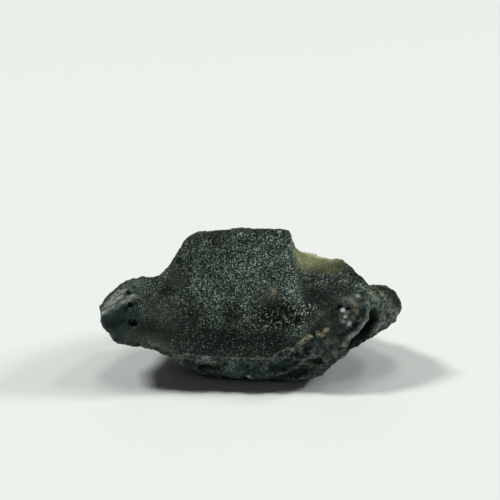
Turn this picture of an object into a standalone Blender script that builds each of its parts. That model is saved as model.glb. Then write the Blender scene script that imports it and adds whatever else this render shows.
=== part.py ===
"""Tektite: one broken piece of natural black glass, 45 mm across, resting on its keel.

The stone is drawn as a boat is, by rails that run from its left tip to its right tip. The dished face
lies between the lip, its front edge, and the crest, its top edge. The hull goes from the crest down the
back, under the keel and up the front to the lip. Flakes are then struck off, ridges are raised, the old
skin outside the dish is made lumpy, and the keel is cut flat where the stone rests. X runs along the
stone, Y goes away from the side that the dish faces, and Z is up. Lengths are in millimetres up to the
last step, which makes them metres and puts the origin on the ground under the middle of the stone.
"""

import math

import bmesh
import bpy
import numpy as np
from mathutils import Vector, noise

MM = 0.001

# Rails: each point is (x along the stone, y towards the back, z above the ground).
RAILS = {
    # The dished face, from its front edge to its top edge.
    "lip": [
        (-22.8, 4.5, 10.4), (-22.0, 4.2, 9.0), (-21.0, 3.8, 8.0), (-19.5, 3.0, 7.0), (-16.5, 2.2, 7.1),
        (-14.3, 1.6, 7.0), (-12.0, 1.0, 6.3), (-9.0, 0.5, 5.7), (-4.5, 0.2, 5.2), (0.0, 0.0, 5.1),
        (3.0, 0.1, 5.4), (5.3, 0.6, 6.2), (7.5, 1.6, 8.0), (9.8, 2.8, 10.6), (12.2, 3.8, 12.6),
        (14.9, 4.8, 13.8), (17.0, 5.6, 14.8), (18.8, 6.2, 15.1), (20.9, 6.8, 14.5), (22.4, 7.2, 12.9),
        (23.0, 7.6, 11.2),
    ],
    "gutter": [
        (-22.8, 4.6, 10.9), (-21.0, 4.1, 11.2), (-17.3, 3.4, 9.6), (-14.0, 3.2, 7.6), (-10.0, 2.9, 5.8),
        (-6.0, 2.7, 4.6), (0.0, 2.6, 4.1), (4.0, 2.9, 4.5), (8.0, 4.2, 7.2), (12.0, 6.4, 10.6),
        (15.0, 7.4, 12.2), (18.0, 8.0, 13.9), (20.5, 8.2, 13.5), (23.0, 7.8, 11.0),
    ],
    "toe": [
        (-22.8, 4.6, 11.1), (-21.0, 4.3, 12.2), (-17.3, 4.2, 13.0), (-14.0, 4.9, 10.2), (-10.0, 5.2, 8.2),
        (-6.0, 5.4, 7.0), (0.0, 5.6, 6.4), (3.5, 5.7, 7.0), (6.2, 6.4, 8.6), (9.0, 8.2, 9.6),
        (12.0, 9.8, 11.2), (15.0, 9.6, 12.0), (18.0, 9.2, 13.2), (20.5, 8.8, 12.6), (23.0, 7.9, 10.9),
    ],
    "wall": [
        (-22.8, 4.7, 11.3), (-21.0, 4.8, 13.0), (-17.3, 6.2, 14.8), (-14.0, 7.8, 13.2), (-9.0, 9.2, 13.2),
        (-4.0, 9.6, 13.0), (0.0, 9.6, 12.8), (3.0, 9.5, 12.9), (5.6, 9.2, 13.3), (8.0, 11.0, 13.1),
        (10.0, 12.2, 13.2), (12.0, 12.6, 13.4), (15.0, 11.8, 13.6), (18.0, 10.8, 12.7), (23.0, 8.0, 10.8),
    ],
    "crest": [
        (-22.8, 4.9, 11.5), (-20.7, 5.6, 14.1), (-18.8, 7.0, 15.3), (-16.5, 8.6, 15.4), (-14.3, 10.0, 14.6),
        (-12.6, 11.0, 15.8), (-11.0, 12.0, 18.1), (-9.6, 12.5, 20.2), (-8.2, 13.0, 20.8), (-3.8, 13.6, 20.8),
        (0.0, 13.8, 21.1), (4.4, 13.6, 21.2), (5.6, 13.4, 21.3), (6.15, 13.4, 20.9), (6.7, 13.9, 18.3),
        (7.5, 14.0, 17.1), (9.3, 14.0, 16.6), (12.0, 13.5, 16.4), (14.1, 12.9, 16.4), (15.3, 12.4, 15.8),
        (16.5, 12.0, 14.4), (17.4, 11.6, 13.1), (19.0, 10.8, 12.4), (21.0, 9.6, 11.4), (23.0, 8.4, 10.8),
    ],
    # The hull, from the crest round the back and under the keel to the lip.
    "shoulder": [
        (-22.8, 7.0, 10.6), (-21.0, 9.5, 11.2), (-18.0, 12.0, 12.4), (-14.0, 14.5, 11.6), (-9.0, 17.2, 16.6),
        (-4.0, 18.6, 18.0), (2.0, 18.6, 17.5), (6.5, 17.6, 14.6), (12.0, 16.0, 12.8), (17.0, 14.6, 10.6),
        (23.0, 9.6, 10.2),
    ],
    "back": [
        (-22.8, 8.5, 9.6), (-21.0, 11.8, 8.8), (-17.0, 16.6, 9.0), (-11.0, 20.4, 10.2), (-4.0, 22.6, 10.8),
        (3.0, 23.0, 10.0), (9.0, 21.6, 8.6), (14.0, 19.4, 7.8), (19.0, 15.6, 8.0), (23.0, 10.8, 9.2),
    ],
    "heel": [
        (-22.8, 7.6, 9.3), (-20.0, 11.0, 6.4), (-14.0, 15.6, 3.6), (-7.0, 18.4, 2.2), (1.0, 18.8, 1.5),
        (7.0, 18.0, 1.3), (13.0, 16.4, 2.6), (18.0, 13.6, 5.0), (23.0, 10.0, 8.8),
    ],
    "keel": [
        (-22.8, 6.0, 9.5), (-19.0, 8.0, 5.8), (-14.0, 8.8, 4.0), (-10.0, 8.4, 0.9), (-6.0, 7.4, -0.6),
        (1.0, 6.8, -0.8), (7.0, 7.0, -0.8), (11.0, 7.4, 0.2), (14.5, 8.0, 3.3), (18.0, 8.6, 5.2),
        (21.0, 8.8, 7.4), (23.0, 8.6, 9.0),
    ],
    "belly": [
        (-22.8, 4.9, 9.2), (-22.0, 4.8, 8.3), (-21.0, 4.5, 7.4), (-19.5, 4.0, 6.4), (-16.5, 3.4, 6.4),
        (-14.3, 2.9, 6.0), (-12.0, 2.3, 5.0), (-10.0, 1.9, 3.6), (-5.0, 1.6, 2.1), (2.0, 1.5, 1.7),
        (7.0, 1.3, 1.7), (11.0, 1.5, 3.2), (13.0, 2.0, 4.5), (14.6, 2.7, 5.9), (15.9, 3.5, 6.4),
        (17.0, 4.2, 6.7), (19.5, 5.8, 7.8), (21.6, 6.8, 8.6), (23.0, 7.8, 9.8),
    ],
    "brow": [
        (-22.8, 4.6, 9.8), (-21.6, 4.3, 8.1), (-19.5, 3.4, 6.7), (-16.5, 2.6, 6.8), (-14.3, 2.1, 6.5),
        (-12.0, 1.5, 5.6), (-10.0, 0.9, 4.6), (-5.0, 0.4, 3.6), (2.0, 0.2, 3.4), (7.0, 0.4, 4.8),
        (11.0, 0.8, 7.4), (14.0, 1.4, 9.6), (17.0, 3.0, 11.2), (20.0, 4.8, 12.0), (23.0, 7.4, 10.6),
    ],
}
FACE = ("lip", "gutter", "toe", "wall", "crest")
HULL = ("crest", "shoulder", "back", "heel", "keel", "belly", "brow", "lip")

# Each stroke is (name, start, end, radius, rise), with a rise below zero where glass is missing.
STROKES = [
    ("arris", (6.2, 11.8, 16.6), (7.6, 7.0, 10.4), 2.4, 0.35),
    ("arris_foot", (7.6, 7.0, 10.4), (10.6, 5.6, 9.6), 2.2, 0.3),
    ("scoop", (10.5, 11.6, 13.0), (13.5, 10.4, 12.4), 3.0, -0.4),
    ("lobe_groove", (19.0, 4.8, 10.9), (15.4, 2.9, 6.8), 1.7, -0.95),
    ("lobe_knob", (21.0, 6.8, 9.4), (18.8, 6.0, 7.6), 1.8, 0.4),
    ("left_flake", (-14.0, 18.6, 9.0), (-10.0, 20.4, 12.0), 6.0, -1.5),
    ("back_flake", (0.5, 20.8, 14.8), (4.0, 21.6, 12.0), 5.0, -1.2),
    ("edge_flake", (9.0, 17.2, 12.6), (13.5, 16.6, 11.8), 3.4, -0.5),
    ("right_hollow", (13.0, 20.0, 6.6), (16.0, 17.6, 6.0), 4.0, -0.9),
    ("heel_lump", (-6.0, 20.6, 4.6), (0.0, 21.4, 4.0), 4.6, 0.8),
    ("tip_flake", (-20.6, 10.8, 8.4), (-18.0, 12.6, 7.0), 3.2, -0.8),
    ("belly_dent", (-7.0, 1.2, 3.2), (-5.5, 1.4, 2.2), 2.0, -0.5),
    ("belly_hollow", (5.0, 0.6, 3.0), (8.5, 0.8, 3.4), 1.8, -0.6),
]

# How far the stone leans towards the side that the dish faces: (x along the stone, millimetres forward).
LEAN = [
    (-23.0, 1.7), (-18.0, 1.8), (-13.5, 1.6), (-7.0, 0.0), (4.0, 0.0), (10.0, 0.8), (15.0, 0.9),
    (19.0, 0.5), (23.0, 0.2),
]
LEAN_RISE = 0.445  # how far up it goes for each millimetre forward

TIPS = (-22.45, 23.0)  # where the stone ends
STATIONS = 130  # cross-sections from tip to tip
STEPS = 6  # points on a cross-section from one rail to the next
VOXEL = 0.35
SKIN_LUMP, SKIN_RISE = 3.4, 0.42  # size and height of the lumps on the old skin
SKIN_GRAIN, GRAIN_RISE = 1.3, 0.20  # the smaller lumps among them
FACE_WAVE, WAVE_RISE = 6.0, 0.22  # the low waves on the dished face
SEED = Vector((17.3, 4.1, 9.7))
FACES_KEPT = 7600
SHARP = math.radians(50)

GLASS = (0.012, 0.015, 0.013, 1.0)
ROUGHNESS = 0.5
IOR = 1.5


def rail_at(rail, x):
    """(y, z) of a rail at x: a cubic through its points, whose slopes never overshoot."""
    knots = np.array(rail)
    i = int(np.clip(np.searchsorted(knots[:, 0], x) - 1, 0, len(knots) - 2))
    step = np.diff(knots[:, 0])
    rise = np.diff(knots[:, 1:], axis=0) / step[:, None]
    slope = np.zeros_like(knots[:, 1:])
    slope[0], slope[-1] = rise[0], rise[-1]
    same_way = rise[:-1] * rise[1:] > 0
    mean = 2 * rise[:-1] * rise[1:] / np.where(same_way, rise[:-1] + rise[1:], 1)
    slope[1:-1] = np.where(same_way, mean, 0)
    h, t = step[i], (x - knots[i, 0]) / step[i]
    return (
        (1 + 2 * t) * (1 - t) ** 2 * knots[i, 1:]
        + t * (1 - t) ** 2 * h * slope[i]
        + t * t * (3 - 2 * t) * knots[i + 1, 1:]
        - t * t * (1 - t) * h * slope[i + 1]
    )


def curve_through(points):
    """STEPS points for each span of a smooth open curve through the given ones, without the last."""
    p = np.array(points)
    p = np.vstack([2 * p[0] - p[1], p, 2 * p[-1] - p[-2]])
    made = []
    for a, b, c, d in zip(p, p[1:], p[2:], p[3:]):
        for t in np.arange(STEPS) / STEPS:
            bend = (2 * a - 5 * b + 4 * c - d) * t * t + (3 * b - a - 3 * c + d) * t**3
            made.append(b + 0.5 * ((c - a) * t + bend))
    return made


def section(x):
    """One closed cross-section: over the dished face from lip to crest, then round the hull."""
    at = {name: rail_at(rail, x) for name, rail in RAILS.items()}
    face = curve_through([at[name] for name in FACE])
    hull = curve_through([at[name] for name in HULL])
    return [(x, y, z) for y, z in face + hull]


def loft():
    """The rails' skin as a closed mesh."""
    bm = bmesh.new()
    rings = [[bm.verts.new(p) for p in section(x)] for x in np.linspace(*TIPS, STATIONS)]
    for a, b in zip(rings, rings[1:]):
        for i in range(len(a)):
            j = (i + 1) % len(a)
            bm.faces.new((a[i], a[j], b[j], b[i]))
    bm.faces.new(rings[0])
    bm.faces.new(rings[-1])
    bmesh.ops.recalc_face_normals(bm, faces=bm.faces)
    mesh = bpy.data.meshes.new("tektite")
    bm.to_mesh(mesh)
    bm.free()
    return mesh


def settle(obj):
    """Works out the object's modifiers into its mesh, and leaves none on it."""
    graph = bpy.context.evaluated_depsgraph_get()
    mesh = bpy.data.meshes.new_from_object(obj.evaluated_get(graph))
    obj.modifiers.clear()
    obj.data = mesh


def read(mesh, attribute):
    """The vertices' "co" or "normal" as rows of three."""
    values = np.empty(len(mesh.vertices) * 3)
    mesh.vertices.foreach_get(attribute, values)
    return values.reshape(-1, 3)


def write(mesh, points):
    """Moves the vertices to the points."""
    mesh.vertices.foreach_set("co", points.ravel())
    mesh.update()


def on_skin(points):
    """1 on the hull, 0 on the dished face, and a blend for a millimetre next to the lip and the crest."""
    made = np.ones(len(points))
    for i, (x, y, z) in enumerate(points):
        lip, crest = rail_at(RAILS["lip"], x), rail_at(RAILS["crest"], x)
        reach = max(np.linalg.norm(crest - lip), 1e-6)
        across = (crest - lip) / reach
        along = np.dot((y, z) - lip, across)
        depth = (y - lip[0]) * across[1] - (z - lip[1]) * across[0]
        within = np.clip(min(along, reach - along) + 0.2, 0, 1)
        shallow = np.clip((5.5 - depth) / 1.5, 0, 1)
        made[i] = 1 - within * shallow
    return made


def strike(mesh):
    """Strikes the flakes off and raises the ridges, each as a smooth push along the surface's normal."""
    for _, start, end, radius, rise in STROKES:
        points, normals = read(mesh, "co"), read(mesh, "normal")
        start, line = np.array(start), np.subtract(end, start)
        along = np.clip((points - start) @ line / (line @ line), 0, 1)
        gaps = np.linalg.norm(points - start - along[:, None] * line, axis=1)
        near = np.clip(1 - (gaps / radius) ** 2, 0, 1)
        write(mesh, points + normals * (rise * near**2)[:, None])


def roughen(mesh):
    """Lumps on the old skin, and long low waves on the dished face."""
    points, normals = read(mesh, "co"), read(mesh, "normal")
    skin = on_skin(points)
    for i, p in enumerate(points):
        at = Vector(p) + SEED
        lumps = SKIN_RISE * noise.noise(at / SKIN_LUMP) + GRAIN_RISE * noise.noise(at / SKIN_GRAIN)
        waves = WAVE_RISE * noise.noise(at / FACE_WAVE)
        points[i] += normals[i] * (skin[i] * lumps + (1 - skin[i]) * waves)
    write(mesh, points)


def lean(mesh):
    """Brings the two ends of the stone forward and up."""
    points = read(mesh, "co")
    forward = np.array([rail_at(LEAN, x)[0] for x in points[:, 0]])
    points[:, 1] -= forward
    points[:, 2] += LEAN_RISE * forward
    write(mesh, points)


def rest(mesh):
    """Cuts the keel flat at the ground, puts the origin under the middle, and makes the lengths metres."""
    bm = bmesh.new()
    bm.from_mesh(mesh)
    whole = bm.verts[:] + bm.edges[:] + bm.faces[:]
    cut = bmesh.ops.bisect_plane(bm, geom=whole, plane_co=(0, 0, 0), plane_no=(0, 0, -1), clear_outer=True)
    edges = [e for e in cut["geom_cut"] if isinstance(e, bmesh.types.BMEdge)]
    bmesh.ops.contextual_create(bm, geom=edges)
    bmesh.ops.recalc_face_normals(bm, faces=bm.faces)
    bm.to_mesh(mesh)
    bm.free()
    points = read(mesh, "co")
    middle = (points.min(axis=0) + points.max(axis=0)) / 2
    write(mesh, (points - (middle[0], middle[1], 0)) * MM)


def black_glass():
    """The stone's glass: nearly black, and matt where it's etched."""
    made = bpy.data.materials.new("black_glass")
    made.use_nodes = True
    shader = made.node_tree.nodes["Principled BSDF"]
    shader.inputs["Base Color"].default_value = GLASS
    shader.inputs["Roughness"].default_value = ROUGHNESS
    shader.inputs["Metallic"].default_value = 0.0
    shader.inputs["IOR"].default_value = IOR
    return made


def main():
    for obj in list(bpy.data.objects):
        bpy.data.objects.remove(obj)
    stone = bpy.data.objects.new("tektite", loft())
    bpy.context.collection.objects.link(stone)
    remesh = stone.modifiers.new("even_skin", "REMESH")
    remesh.mode = "VOXEL"
    remesh.voxel_size = VOXEL
    soften = stone.modifiers.new("soften", "SMOOTH")
    soften.factor = 0.5
    soften.iterations = 3
    settle(stone)
    strike(stone.data)
    roughen(stone.data)
    blunt = stone.modifiers.new("blunt_edges", "SMOOTH")
    blunt.factor = 0.5
    blunt.iterations = 3
    fewer = stone.modifiers.new("fewer_faces", "DECIMATE")
    fewer.ratio = FACES_KEPT / (2 * len(stone.data.polygons))
    settle(stone)
    lean(stone.data)
    rest(stone.data)
    stone.data.shade_smooth()
    stone.data.set_sharp_from_angle(angle=SHARP)
    stone.data.materials.append(black_glass())


main()
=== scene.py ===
"""Draws a tektite, a broken boat-shaped piece of natural black glass, round its plain solid.

It's laid out as an add-on and run as a script. One operator makes the stone and one sets the stage. The
stone starts as a fine copy of the solid. Its ridges and hollows are pressed in along lines laid out as a
viewer facing its dish sees them, its old skin is made lumpy and pitted with Geometry Nodes, and its
colour comes from masks kept on its points, some of which paint light and shade into it.
"""

import math

import bmesh
import bpy
import numpy as np
from bpy.props import FloatProperty, FloatVectorProperty, IntProperty, PointerProperty
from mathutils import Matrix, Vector, noise
from mathutils.bvhtree import BVHTree


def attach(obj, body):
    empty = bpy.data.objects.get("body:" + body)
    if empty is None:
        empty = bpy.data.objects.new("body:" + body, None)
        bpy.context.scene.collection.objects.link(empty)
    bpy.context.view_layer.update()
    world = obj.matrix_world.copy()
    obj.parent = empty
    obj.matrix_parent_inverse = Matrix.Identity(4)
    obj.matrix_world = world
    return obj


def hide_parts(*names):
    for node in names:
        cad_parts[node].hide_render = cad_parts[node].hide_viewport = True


bl_info = {
    "name": "Tektite",
    "version": (1, 0, 0),
    "blender": (4, 5, 0),
    "location": "View3D > Sidebar > Tektite",
    "description": "A broken piece of natural black glass with an etched dish and a pitted old skin",
    "category": "Object",
}

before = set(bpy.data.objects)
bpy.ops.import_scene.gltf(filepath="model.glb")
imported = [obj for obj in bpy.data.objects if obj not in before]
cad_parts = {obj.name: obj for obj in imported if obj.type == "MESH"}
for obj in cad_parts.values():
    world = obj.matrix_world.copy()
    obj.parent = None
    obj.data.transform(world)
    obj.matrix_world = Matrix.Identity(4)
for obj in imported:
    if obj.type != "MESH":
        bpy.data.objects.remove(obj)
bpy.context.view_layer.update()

MM = 0.001
TINY = 1e-6  # in metres: points nearer than this are one point, and a length is taken as at least this
# The point on the ground under the middle of the lip, in mm in the row's frame. LIP, CREST and LEAN below
# are in mm from it.
FOOT = np.array([-0.268, -11.233, 0.0])

# The viewer of the dish: how far above the level they look from, how far off, and their lens in mm. A
# place in the view is in mm across and up from the foot, as (x, y).
VIEW_ANGLE = math.radians(24)
VIEW_DISTANCE = 0.25
VIEW_RISE = 21.45 * MM  # from the foot to the middle of the view
LENS, SENSOR = 120.0, 36.0
NEAREST_SHOWN = 0.01
TOWARDS_VIEWER = Vector((0, -math.cos(VIEW_ANGLE), math.sin(VIEW_ANGLE)))
VIEW_UP = Vector((0, math.sin(VIEW_ANGLE), math.cos(VIEW_ANGLE)))
VIEW_FOOT = Vector(FOOT * MM)
VIEWER = VIEW_FOOT + VIEW_UP * VIEW_RISE + TOWARDS_VIEWER * VIEW_DISTANCE

# The dish's front edge and its top edge, as (x, y, z).
LIP = [
    (-22.8, 4.5, 10.4), (-22.0, 4.2, 9.0), (-21.0, 3.8, 8.0), (-19.5, 3.0, 7.0), (-16.5, 2.2, 7.1),
    (-14.3, 1.6, 7.0), (-12.0, 1.0, 6.3), (-9.0, 0.5, 5.7), (-4.5, 0.2, 5.2), (0.0, 0.0, 5.1),
    (3.0, 0.1, 5.4), (5.3, 0.6, 6.2), (7.5, 1.6, 8.0), (9.8, 2.8, 10.6), (12.2, 3.8, 12.6),
    (14.9, 4.8, 13.8), (17.0, 5.6, 14.8), (18.8, 6.2, 15.1), (20.9, 6.8, 14.5), (22.4, 7.2, 12.9),
    (23.0, 7.6, 11.2),
]
CREST = [
    (-22.8, 4.9, 11.5), (-20.7, 5.6, 14.1), (-18.8, 7.0, 15.3), (-16.5, 8.6, 15.4), (-14.3, 10.0, 14.6),
    (-12.6, 11.0, 15.8), (-11.0, 12.0, 18.1), (-9.6, 12.5, 20.2), (-8.2, 13.0, 20.8), (-3.8, 13.6, 20.8),
    (0.0, 13.8, 21.1), (4.4, 13.6, 21.2), (5.6, 13.4, 21.3), (6.15, 13.4, 20.9), (6.7, 13.9, 18.3),
    (7.5, 14.0, 17.1), (9.3, 14.0, 16.6), (12.0, 13.5, 16.4), (14.1, 12.9, 16.4), (15.3, 12.4, 15.8),
    (16.5, 12.0, 14.4), (17.4, 11.6, 13.1), (19.0, 10.8, 12.4), (21.0, 9.6, 11.4), (23.0, 8.4, 10.8),
]
# How far the stone leans towards the viewer, as (x, mm forward), and how far up it goes for each mm.
LEAN = [
    (-23.0, 1.7), (-18.0, 1.8), (-13.5, 1.6), (-7.0, 0.0), (4.0, 0.0), (10.0, 0.8), (15.0, 0.9),
    (19.0, 0.5), (23.0, 0.2),
]
LEAN_RISE = 0.445


class TektiteShape(bpy.types.PropertyGroup):
    """Sizes of what weather and breaking left on the stone."""

    step: FloatProperty(
        name="Mesh step", description="Size of the fine mesh's faces", default=0.00020, unit="LENGTH"
    )
    lump_size: FloatProperty(
        name="Lump size", description="Width of the old skin's lumps", default=0.0022, unit="LENGTH"
    )
    lump_height: FloatProperty(
        name="Lump height", description="Height of the old skin's lumps", default=0.00022, unit="LENGTH"
    )
    dish_lump_height: FloatProperty(
        name="Dish lump height", description="Height of the dish's faint lumps", default=0.00003,
        unit="LENGTH",
    )
    pit_radius: FloatProperty(
        name="Pit radius", description="Radius of the old skin's larger pits", default=0.0008, unit="LENGTH"
    )
    pit_depth: FloatProperty(
        name="Pit depth", description="Depth of the old skin's larger pits", default=0.00030, unit="LENGTH"
    )
    pit_count: FloatProperty(
        name="Pit count", description="Larger pits on a square metre of old skin", default=70000.0
    )
    small_pit_count: FloatProperty(
        name="Small pit count", description="Smaller pits on a square metre of old skin", default=400000.0
    )
    seed: IntProperty(name="Seed", description="Where the pits fall", default=7)


class TektiteGlass(bpy.types.PropertyGroup):
    """Colours of the glass, of what sticks to it, and of the light and shade painted on it."""

    glass: FloatVectorProperty(
        name="Glass", description="Thick glass", subtype="COLOR", default=(0.0012, 0.0042, 0.0028)
    )
    frost: FloatVectorProperty(
        name="Frost", description="Etched glass between its grains", subtype="COLOR",
        default=(0.0150, 0.0243, 0.0192),
    )
    # Painted glints: the bright grains stand for the glints that the etched pits give under the lamps.
    grain: FloatVectorProperty(
        name="Grain", description="Etched grains that catch the light", subtype="COLOR",
        default=(0.73, 1.0, 0.81),
    )
    warm_grain: FloatVectorProperty(
        name="Warm grain", description="The few browner grains", subtype="COLOR", default=(0.86, 0.88, 0.66)
    )
    # Painted shade: the near-black that the old skin takes in its hollows, also the colour of its cracks.
    hollow: FloatVectorProperty(
        name="Hollow", description="The bottoms of the old skin's pits", subtype="COLOR",
        default=(0.0050, 0.0105, 0.0085),
    )
    skin: FloatVectorProperty(
        name="Skin", description="The lighter parts of the old skin", subtype="COLOR",
        default=(0.048, 0.072, 0.060),
    )
    # Pale wear on streaks and rubbed ridges, and also painted light on the old skin's peaks and on faces
    # and edges that catch the lamps.
    worn: FloatVectorProperty(
        name="Worn edges", description="Ridges rubbed pale", subtype="COLOR", default=(0.235, 0.295, 0.25)
    )
    # Painted reflection and shade: the bluish reflection on the smooth left facet, and a teal black where
    # shade falls in the gap, the hollows, the undercut and along the lower rim.
    sheen: FloatVectorProperty(
        name="Sheen", description="Smooth bluish glass", subtype="COLOR", default=(0.027, 0.047, 0.045)
    )
    # Painted light: the olive glow of light coming through the thin top edge.
    painted_light_through_glass: FloatVectorProperty(
        name="Thin glass", description="Glass thin enough to let light through", subtype="COLOR",
        default=(0.64, 0.66, 0.35),
    )
    rust: FloatVectorProperty(
        name="Rust", description="Brown tint of the soil", subtype="COLOR", default=(0.052, 0.051, 0.037)
    )
    clay: FloatVectorProperty(
        name="Clay", description="Pale clay left on ridges", subtype="COLOR", default=(0.50, 0.45, 0.30)
    )
    # Painted highlights: nearly white glints where chips, sharp edges and the left pit's bottom catch the
    # lamps.
    white: FloatVectorProperty(
        name="White", description="Chips and sharp edges that look nearly white", subtype="COLOR",
        default=(0.85, 0.87, 0.84),
    )


class TektiteStage(bpy.types.PropertyGroup):
    """The floor and the lights."""

    floor: FloatVectorProperty(
        name="Floor", description="Colour of the floor", subtype="COLOR", default=(0.80, 0.84, 0.80)
    )
    left_lamp: FloatProperty(name="Left lamp", description="Lamp at the left, in watts", default=7.7)
    right_lamp: FloatProperty(name="Right lamp", description="Low lamp at the right, in watts", default=6)
    high_lamp: FloatProperty(name="High lamp", description="High lamp at the right, in watts", default=1.9)
    top_lamp: FloatProperty(name="Top lamp", description="Lamp overhead, in watts", default=2.8)
    back_lamp: FloatProperty(name="Back lamp", description="Wide lamp behind, in watts", default=1.4)
    front_lamp: FloatProperty(name="Front lamp", description="Wide lamp in front, in watts", default=0.8)
    surround: FloatProperty(name="Surround", description="Light from all round", default=0.010)


# ---------------------------------------------------------------- places on the stone

LONGEST_STEP = 1.1 * MM  # two places found further apart than this lie on different edges


def dense(line, parts=8):
    """More points on a smooth curve through the line's own."""
    p = np.array(line, float)
    p = np.vstack([2 * p[0] - p[1], p, 2 * p[-1] - p[-2]])
    made = []
    for a, b, c, d in zip(p, p[1:], p[2:], p[3:]):
        for t in np.arange(parts) / parts:
            bend = (2 * a - 5 * b + 4 * c - d) * t * t + (3 * b - a - 3 * c + d) * t**3
            made.append(b + 0.5 * ((c - a) * t + bend))
    made.append(p[-2])
    return np.array(made)


def placed(line):
    """A line given in mm from the foot, leaned as the stone is, in the row's frame in metres."""
    line = np.array(line, float)
    forward = np.interp(line[:, 0], *np.transpose(LEAN))
    return (line + np.outer(forward, (0, -1, LEAN_RISE)) + FOOT) * MM


def seen(surface, name, places):
    """The line on the surface that the viewer sees under a curve through places in the view."""
    found = []
    for across, up in dense(places) if len(places) > 1 else places:
        target = VIEW_FOOT + Vector((across * MM, 0, 0)) + VIEW_UP * (up * MM)
        hit = surface.ray_cast(VIEWER, (target - VIEWER).normalized())[0]
        if hit is not None:
            found.append(hit)
    if not found:
        raise RuntimeError(f"{name}: nothing is seen at {places}")
    return np.array(found)


def near_line(points, line, radius):
    """Which points are within radius of the line, and how far from it each one is.

    Where the line jumps from a near edge to what the viewer sees behind it, the jump isn't bridged.
    """
    line = np.atleast_2d(line)
    inside = (points > line.min(axis=0) - radius) & (points < line.max(axis=0) + radius)
    found = np.flatnonzero(inside.all(axis=1))
    gap = np.linalg.norm(points[found] - line[0], axis=1)
    for a, b in zip(line, line[1:]):
        part = b - a
        if np.linalg.norm(part) > LONGEST_STEP:
            part = np.zeros(3)
        along = np.clip((points[found] - a) @ part / max(part @ part, TINY**2), 0, 1)
        gap = np.minimum(gap, np.linalg.norm(points[found] - a - along[:, None] * part, axis=1))
    close = gap < radius
    return found[close], gap[close]


# ---------------------------------------------------------------- meshes

MOVE = 0.5  # the share of the way to its neighbours' mean that a point goes in one round
FACET_ROUNDS, FACET_BACK = 14, 0.52  # what smooths away the solid's flat faces


def read(mesh, attribute="co"):
    """The places of the mesh's points, or their normals, one row for each."""
    values = np.empty(len(mesh.vertices) * 3)
    mesh.vertices.foreach_get(attribute, values)
    return values.reshape(-1, 3)


def write(mesh, points):
    """Puts the mesh's points at these places."""
    mesh.vertices.foreach_set("co", np.ascontiguousarray(points, dtype=np.float32).ravel())
    mesh.update()


def keep(mesh, name, values):
    """Stores one number for each point of the mesh."""
    layer = mesh.attributes.get(name) or mesh.attributes.new(name, "FLOAT", "POINT")
    layer.data.foreach_set("value", np.ascontiguousarray(values, dtype=np.float32))


def linked(name, data):
    """A new object in the scene that holds the data."""
    made = bpy.data.objects.new(name, data)
    bpy.context.scene.collection.objects.link(made)
    return made


def settle(obj):
    """Works out the object's modifiers into its mesh, and leaves none on it."""
    graph = bpy.context.evaluated_depsgraph_get()
    mesh = bpy.data.meshes.new_from_object(obj.evaluated_get(graph))
    obj.modifiers.clear()
    obj.data = mesh
    return mesh


def spread(mesh, values, rounds, back=0.0):
    """The values after each point has moved towards its neighbours' mean, some rounds over.

    With back, each move is followed by one the other way, which keeps the size of what is smoothed.
    """
    ends = np.empty(len(mesh.edges) * 2, dtype=np.int64)
    mesh.edges.foreach_get("vertices", ends)
    a, b = ends.reshape(-1, 2).T
    size = len(mesh.vertices)
    count = np.maximum(np.bincount(a, minlength=size) + np.bincount(b, minlength=size), 1)
    flat = values.reshape(size, -1).copy()
    for share in ((MOVE, -back) if back else (MOVE,)) * rounds:
        total = np.empty_like(flat)
        for i, column in enumerate(flat.T):
            total[:, i] = np.bincount(a, weights=column[b], minlength=size)
            total[:, i] += np.bincount(b, weights=column[a], minlength=size)
        flat += share * (total / count[:, None] - flat)
    return flat.reshape(values.shape)


def fine_copy(node, step):
    """A closed even mesh of the node, with the solid's flat faces smoothed away."""
    bm = bmesh.new()
    bm.from_mesh(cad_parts[node].data)
    bmesh.ops.remove_doubles(bm, verts=bm.verts, dist=TINY)
    mesh = bpy.data.meshes.new("tektite_stone")
    bm.to_mesh(mesh)
    bm.free()
    obj = linked("tektite_stone", mesh)
    remesh = obj.modifiers.new("even_skin", "REMESH")
    remesh.mode = "VOXEL"
    remesh.voxel_size = step
    settle(obj)
    write(obj.data, spread(obj.data, read(obj.data), FACET_ROUNDS, FACET_BACK))
    return obj


# ---------------------------------------------------------------- nodes

SOCKETS = {float: "NodeSocketFloat", int: "NodeSocketInt", str: "NodeSocketString"}


def add(tree, kind, inputs=None, **settings):
    """A new node in the tree, with its settings and its inputs, each a value or another node's output."""
    made = tree.nodes.new(kind)
    for name, value in settings.items():
        setattr(made, name, value)
    for key, value in (inputs or {}).items():
        if isinstance(value, bpy.types.NodeSocket):
            tree.links.new(value, made.inputs[key])
        else:
            made.inputs[key].default_value = value
    return made


def math_of(tree, operation, first, second=0.0, third=0.0, clamp=False):
    """The result of a sum on numbers or other nodes' outputs."""
    inputs = {0: first, 1: second, 2: third}
    return add(tree, "ShaderNodeMath", inputs, operation=operation, use_clamp=clamp).outputs[0]


def times(tree, first, *others):
    """The values multiplied together."""
    for value in others:
        first = math_of(tree, "MULTIPLY", first, value)
    return first


def vector_of(tree, operation, first, second, result="Vector"):
    """The result of a sum on two vectors, or on a vector and a number to scale it by."""
    key = "Scale" if operation == "SCALE" else 1
    made = add(tree, "ShaderNodeVectorMath", {0: first, key: second}, operation=operation)
    return made.outputs[result]


def ramp_of(tree, value, low, high, start=0.0, end=1.0):
    """The value's place between low and high, from start to end with a smooth bend at both."""
    inputs = {"Value": value, "From Min": low, "From Max": high, "To Min": start, "To Max": end}
    return add(tree, "ShaderNodeMapRange", inputs, interpolation_type="SMOOTHSTEP").outputs["Result"]


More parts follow.
